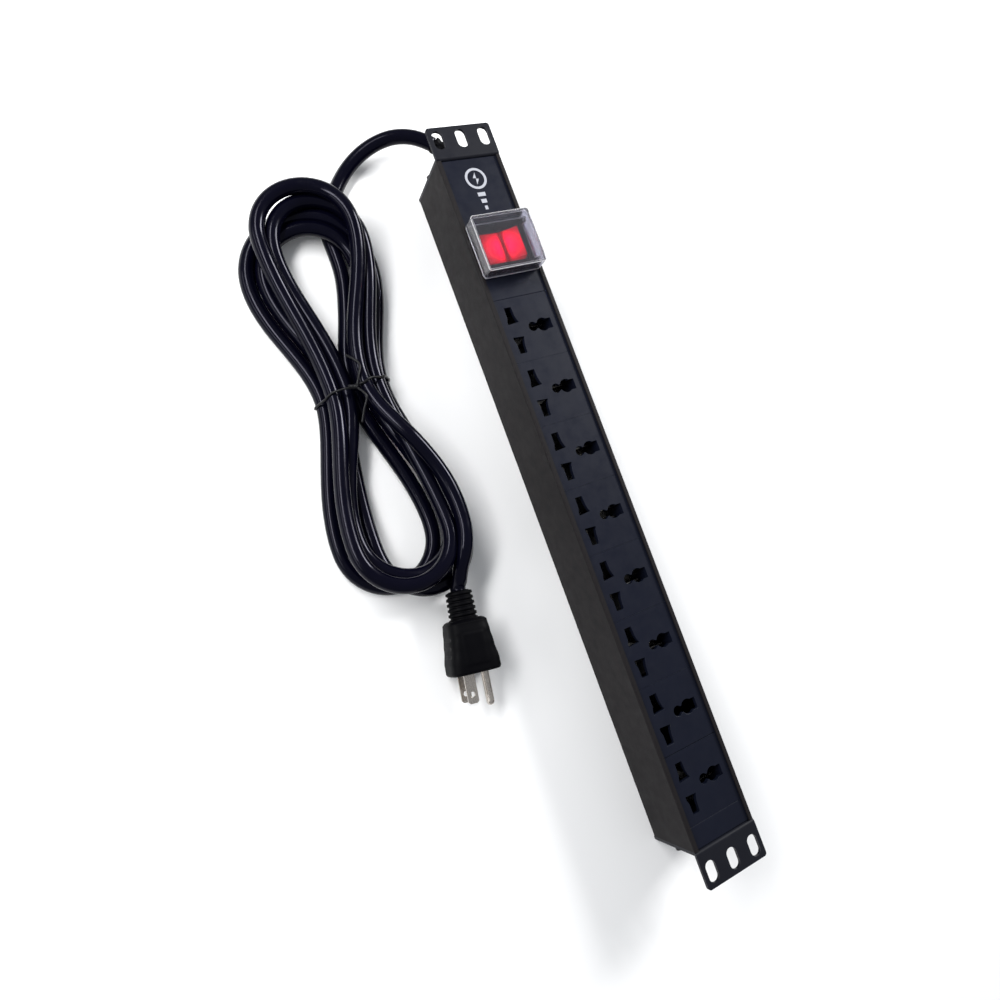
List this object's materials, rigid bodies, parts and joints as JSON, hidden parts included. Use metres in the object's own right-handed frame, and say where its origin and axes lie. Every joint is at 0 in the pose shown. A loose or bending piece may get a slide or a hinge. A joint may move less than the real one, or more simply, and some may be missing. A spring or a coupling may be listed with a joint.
{
  "type": "rack power strip",
  "caption": "Rack power strip: a one-unit channel with a row of universal sockets, a lit rocker switch under a clear flip lid, slotted ears and a tied mains lead with an earthed plug.",
  "frame": {"origin": "middle of the channel, on its flat back face, which lies on the surface", "axes": "+X along the strip, away from the end that the lead leaves; +Y across it, away from the tied lead; +Z out of the socket face"},
  "size_m": [0.5026, 0.1762, 0.0554],
  "materials": {
    "channel_paint": "matt dark warm grey paint",
    "ear_paint": "satin black paint",
    "black_steel": "black oxide",
    "module_plastic": "satin blue-black moulding",
    "white_ink": "screen-printed ink",
    "back_plastic": "matt moulding",
    "contact_brass": "bright stamped strip",
    "switch_plastic": "satin black moulding",
    "red_lens": "translucent red, lit from inside",
    "spring_steel": "plain steel",
    "lamp_glass": "neon lamp",
    "clear_plastic": "clear polycarbonate",
    "sleeve_red": "soft vinyl",
    "core_brown": "PVC core insulation",
    "core_blue": "PVC core insulation",
    "core_green": "green and yellow PVC core insulation",
    "lead_pvc": "glossy black PVC",
    "gland_pvc": "satin black PVC",
    "tie_wire": "plastic-coated wire",
    "blade_metal": "nickel-plated brass"
  },
  "bodies": {
    "strip": {"housing": "channel_paint", "ear_bracket_cord_end": "ear_paint", "ear_bracket_far_end": "ear_paint", "end_screws": "black_steel", "switch_panel": "module_plastic", "printed_mark": "white_ink", "end_filler": "module_plastic", "socket_1": "module_plastic", "socket_2": "module_plastic", "socket_3": "module_plastic", "socket_4": "module_plastic", "socket_5": "module_plastic", "socket_6": "module_plastic", "socket_7": "module_plastic", "socket_8": "module_plastic", "socket_backs": "back_plastic", "live_busbar": "contact_brass", "neutral_busbar": "contact_brass", "earth_busbar": "contact_brass", "switch_body": "switch_plastic", "switch_feed_terminals": "contact_brass", "switch_load_terminals": "contact_brass", "switch_lamp": "lamp_glass", "lid_frame": "clear_plastic", "lid_hinge_pin": "spring_steel", "crimp_sleeves": "sleeve_red", "feed_live_wire": "core_brown", "feed_neutral_wire": "core_blue", "feed_earth_wire": "core_green", "load_live_wire": "core_brown", "load_neutral_wire": "core_blue", "bond_wire": "core_green", "earth_stud": "spring_steel", "earth_nut": "spring_steel", "earth_rings": "spring_steel", "inner_sheath": "lead_pvc", "cord_gland": "gland_pvc", "cord_lead": "lead_pvc", "cord_hank": "lead_pvc", "hank_tie": "tie_wire", "plug_relief": "gland_pvc", "plug_body": "gland_pvc", "plug_live_blade": "blade_metal", "plug_neutral_blade": "blade_metal", "plug_earth_pin": "blade_metal"},
    "rocker": {"rocker": "red_lens", "rocker_plungers": "contact_brass", "plunger_springs": "spring_steel"},
    "contacts": {"contact_levers": "contact_brass"},
    "lid": {"clear_lid": "clear_plastic"}
  },
  "joints": [
    {"name": "rocker_tilt", "type": "hinge", "parent": "strip", "child": "rocker", "pos_m": [-0.1565, 0, 0.041], "axis": [-1, 0, 0], "range_deg": [0, 20]},
    {"name": "contact_tilt", "type": "hinge", "parent": "strip", "child": "contacts", "pos_m": [-0.1565, 0, 0.0322], "axis": [1, 0, 0], "range_deg": [0, 16]},
    {"name": "lid_hinge", "type": "hinge", "parent": "strip", "child": "lid", "pos_m": [-0.1565, 0.0186, 0.0474], "axis": [-1, 0, 0], "range_deg": [0, 100]}
  ],
  "couplings": [
    {"joint": "contact_tilt", "follows": "rocker_tilt", "ratio": 0.8}
  ]
}
